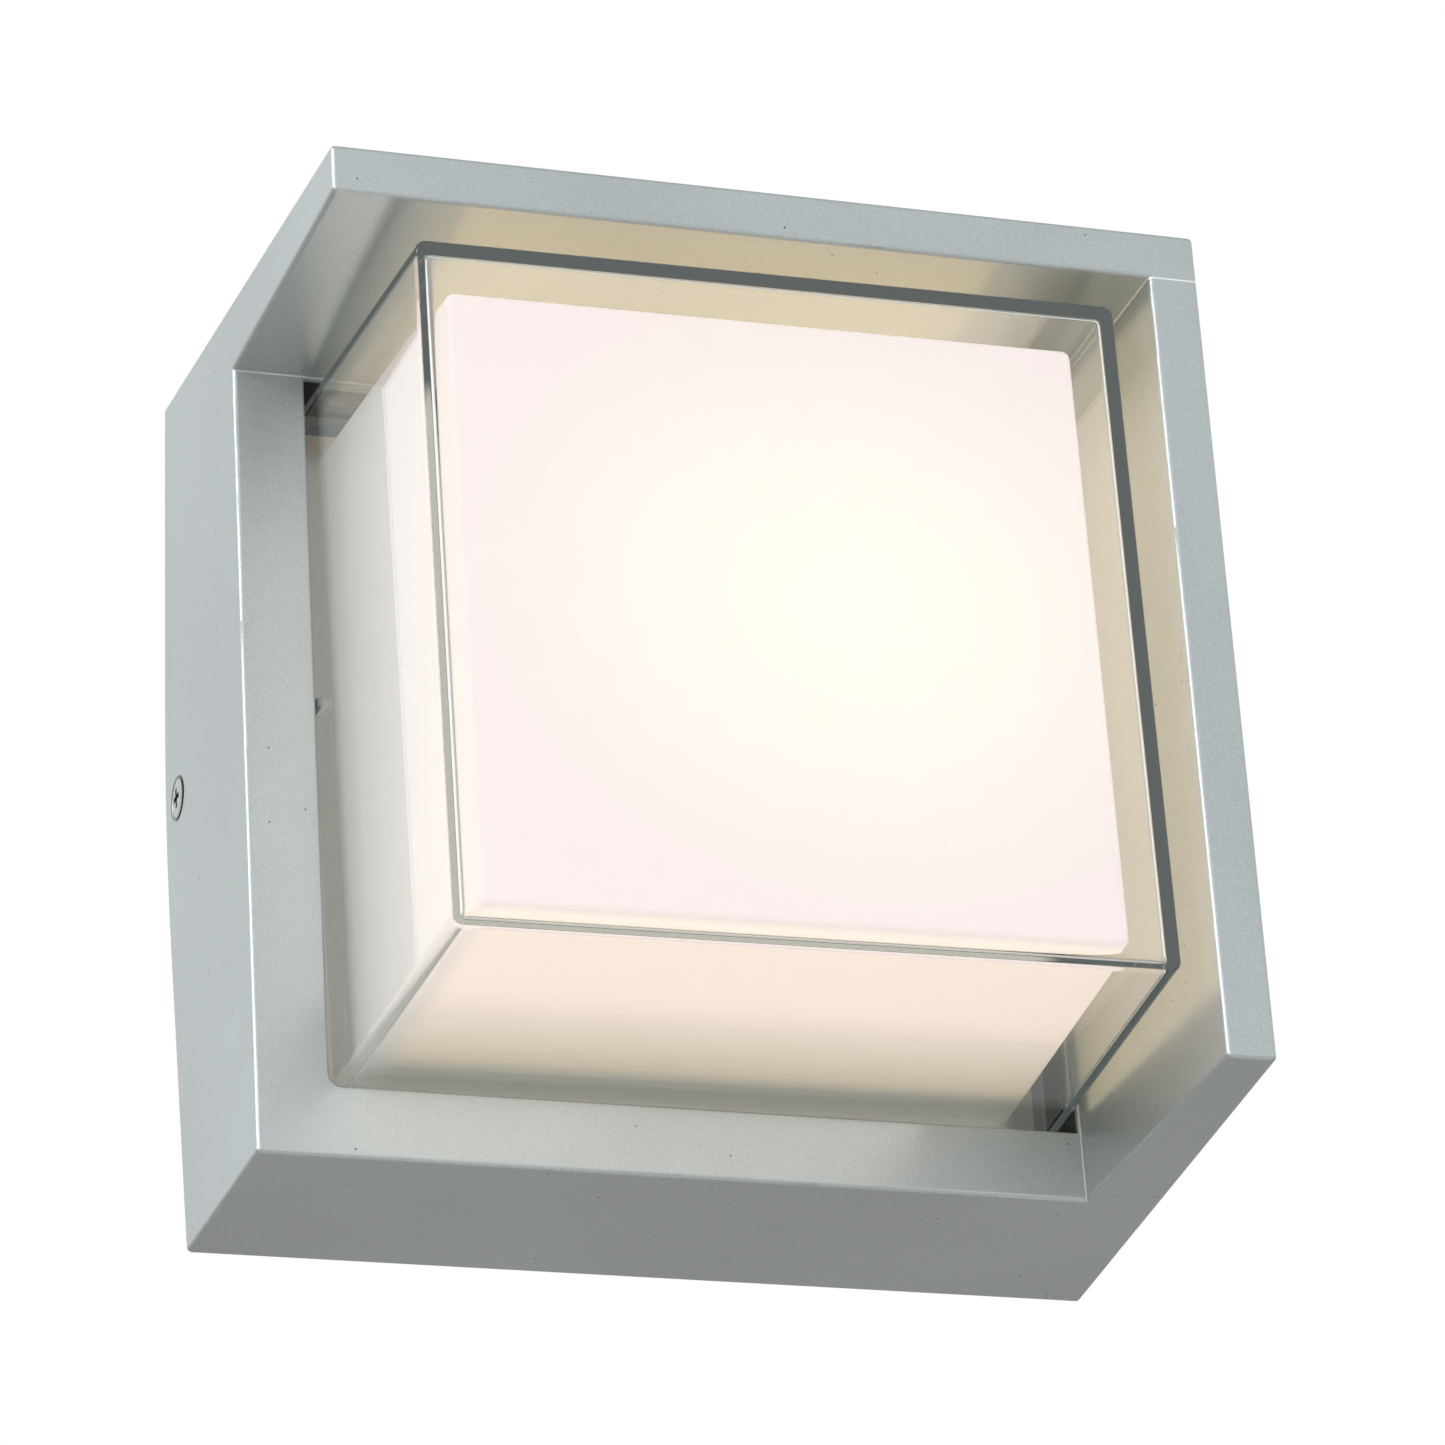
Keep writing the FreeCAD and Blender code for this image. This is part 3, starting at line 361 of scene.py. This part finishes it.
def brushed_metal(name, color, roughness, stretch=(1, 1, 60), painted_shade=None):
    """Rolled or machined metal with fine lines, clouded plating and perhaps painted shade in its hollows."""
    shader = Shader(name)
    lines = shader.noise(90, 3, 0.6, stretch)
    cloud = shader.noise(30, 4)
    darker = tuple(channel * 0.8 for channel in color)
    tone, metallic = shader.blend(shader.between(cloud, 0, 1, 0.3, 0.7), darker, color), 1.0
    # Painted shade: the masked hollows are darkened and made less metallic.
    if painted_shade:
        mask = painted_shade(shader)
        tone, metallic = shader.blend(mask, tone, (0.02, 0.021, 0.022)), shader.between(mask, 1, 0.3)
    shader.shade(Base_Color=tone, Metallic=metallic,
                 Roughness=shader.between(lines, roughness - 0.06, roughness + 0.1, 0.3, 0.7),
                 Normal=shader.bump(lines, 0.15, 0.05 * MM))
    return shader.material


# ---------------------------------------------------------------- meshes

def rounded_ring(half, corner, y, steps=6):
    """Points round a square with rounded corners, at one depth."""
    points = []
    for quarter in range(4):
        for step in range(steps + 1):
            angle = math.pi / 2 * (quarter + step / steps)
            centre_angle = math.pi / 2 * quarter + math.pi / 4
            inner = (half - corner) * math.sqrt(2)
            points.append(Vector((inner * math.cos(centre_angle) + corner * math.cos(angle), y,
                                  inner * math.sin(centre_angle) + corner * math.sin(angle))))
    return points


def ringed_mesh(name, rings, material):
    """Skins a list of rings with quads, and closes the first and the last with flat faces."""
    work = bmesh.new()
    rows = [[work.verts.new(point) for point in ring] for ring in rings]
    for near, far in zip(rows, rows[1:]):
        for index in range(len(near)):
            after = (index + 1) % len(near)
            work.faces.new((near[index], near[after], far[after], far[index]))
    work.faces.new(rows[0])
    work.faces.new(rows[-1])
    bmesh.ops.recalc_face_normals(work, faces=work.faces)
    mesh = bpy.data.meshes.new(name)
    work.to_mesh(mesh)
    work.free()
    mesh.shade_smooth()
    mesh.set_sharp_from_angle(angle=math.radians(50))
    piece = bpy.data.objects.new(name, mesh)
    bpy.context.collection.objects.link(piece)
    piece.data.materials.append(material)
    piece.modifiers.new("flat_faces", "WEIGHTED_NORMAL").keep_sharp = True
    return piece


def box_shell(node, name, material, flange, half, draft, corner, edge, inner_edge):
    """A drafted box with rounded edges, real wall thickness and a flange round its open rear."""
    wall, inner_corner, nick = 2 * MM, corner / 2, 0.3 * MM
    low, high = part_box(node)
    rear, front = high.y, low.y
    root = rear - flange
    slope = math.tan(math.radians(draft))

    def half_at(y):
        return half - slope * (root - y)

    inner_front = front + wall
    rings = []
    arc = [math.pi / 2 * step / 4 for step in range(5)]
    for angle in arc:
        y = inner_front + inner_edge * (1 - math.cos(angle))
        rings.append(rounded_ring(half_at(y) - wall - inner_edge * (1 - math.sin(angle)), inner_corner, y))
    rings.append(rounded_ring(half_at(rear) - wall, inner_corner, rear))
    for out, y in ((nick, rear), (0, rear - nick), (0, root + nick), (nick, root)):
        rings.append(rounded_ring(FLANGE_HALF - out, FLANGE_CORNER, y))
    rings.append(rounded_ring(half_at(root), corner, root))
    for angle in reversed(arc):
        y = front + edge * (1 - math.cos(angle))
        rings.append(rounded_ring(half_at(y) - edge * (1 - math.sin(angle)), corner, y))
    piece = ringed_mesh(name, rings, material)
    piece.data.transform(SEATING)
    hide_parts(node)
    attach(piece, "root")


def cover_pips(material):
    """The small moulded pip on the left and the right side of the clear cover."""
    half, reach, long, up = 1 * MM, 72.2 * MM, 4 * MM, 5.6 * MM
    rear = -47.5 * MM
    inner = COVER_HALF - 0.3 * MM
    work = bmesh.new()
    for side in (-1, 1):
        size = Matrix.Diagonal((reach - inner, long, 2 * half, 1))
        place = Matrix.Translation((side * (reach + inner) / 2, rear - long / 2, up))
        bmesh.ops.create_cube(work, size=1, matrix=place @ size)
    bmesh.ops.bevel(work, geom=work.edges[:], offset=0.25 * MM, segments=3, affect="EDGES", profile=0.5)
    work.transform(SEATING)
    mesh = bpy.data.meshes.new("cover_pips")
    work.to_mesh(mesh)
    work.free()
    mesh.shade_smooth()
    pips = bpy.data.objects.new("cover_pips", mesh)
    bpy.context.collection.objects.link(pips)
    pips.data.materials.append(material)
    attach(pips, "root")


# ---------------------------------------------------------------- build

make_camera()
make_world()
make_floor()
add_softbox("key", (-1.2, -1.4, -0.1), 2.5, 1.6, 14)
add_lamp("edge", Vector((-2.12, -0.8, 1.05)), Vector((0.85, 0.31, -0.42)), 1.7, 0.8, 20)
add_lamp("near", Vector((0.22, -0.8, -0.22)), Vector((-0.22, 0.8, 0.2)), 0.5, 0.5, 0.5)
add_softbox("lift", (0.31, -0.42, -0.85), 1.4, 0.5, 0.7)
add_glow()
cycles = bpy.context.scene.cycles
cycles.max_bounces = cycles.transmission_bounces = cycles.glossy_bounces = 32

acrylic = clear_acrylic()
box_shell("clear_cover", "clear_cover_shell", acrylic, flange=3 * MM, half=COVER_HALF,
          draft=2.5, corner=2 * MM, edge=0.4 * MM, inner_edge=1.4 * MM)
cover_pips(frosted_acrylic())
box_shell("opal_diffuser", "opal_diffuser_shell", opal_glow(), flange=2 * MM,
          half=DIFFUSER_HALF, draft=2.7, corner=1.5 * MM, edge=0.9 * MM, inner_edge=0.6 * MM)

FINISHES = {
    silver_paint(): ["front_frame"],
    plain_material("silicone", (0.05, 0.053, 0.053), 0.55, 0.1, 60): ["cover_gasket", "lead_grommet",
                                                                      "supply_bush"],
    plain_material("white_powder", (0.78, 0.78, 0.76), 0.5, 0.03, 40): ["led_tray", "board_connector"],
    plain_material("board_mask", (0.85, 0.85, 0.82), 0.35, 0.02, 80): ["led_board"],
    plain_material("pad_grey", (0.35, 0.4, 0.48), 0.7, 0.08, 120): ["thermal_pad"],
    plain_material("phosphor", (0.9, 0.62, 0.08), 0.4, 0.08, 400): ["led_chips"],
    plain_material("red_lead", (0.45, 0.02, 0.015), 0.4, 0.05, 200): ["lead_positive"],
    plain_material("black_lead", (0.015, 0.015, 0.016), 0.4, 0.1, 200): ["lead_negative"],
    plain_material("driver_shell", (0.025, 0.026, 0.028), 0.55, 0.12, 90): ["driver_case", "driver_lid"],
    plain_material("green_mask", (0.01, 0.16, 0.06), 0.35, 0.1, 90): ["driver_board"],
    plain_material("ferrite", (0.03, 0.03, 0.032), 0.5, 0.15, 200): ["driver_transformer"],
    plain_material("can_sleeve", (0.02, 0.03, 0.09), 0.3, 0.1, 200): ["driver_capacitors"],
    brushed_metal("zinc", (0.62, 0.62, 0.58), 0.3, (1, 60, 1)): ["wall_plate"],
    brushed_metal("side_screw_metal", (0.5, 0.51, 0.52), 0.3, painted_shade=screw_hollow_shade): ["left_side_screw",
                                                                                  "right_side_screw"],
    brushed_metal("screw_steel", (0.6, 0.61, 0.62), 0.28): ["tray_screws", "board_screws", "driver_screws"],
    plain_material("green_dye", (0.01, 0.22, 0.05), 0.3, 0.1, 200, 0.6): ["ground_screw"],
    brushed_metal("brass", (0.75, 0.55, 0.22), 0.3): ["ground_washer"],
}
for material, names in FINISHES.items():
    for node in names:
        nodes[node].data.materials.clear()
        nodes[node].data.materials.append(material)

bpy.context.scene.view_settings.view_transform = "Standard"
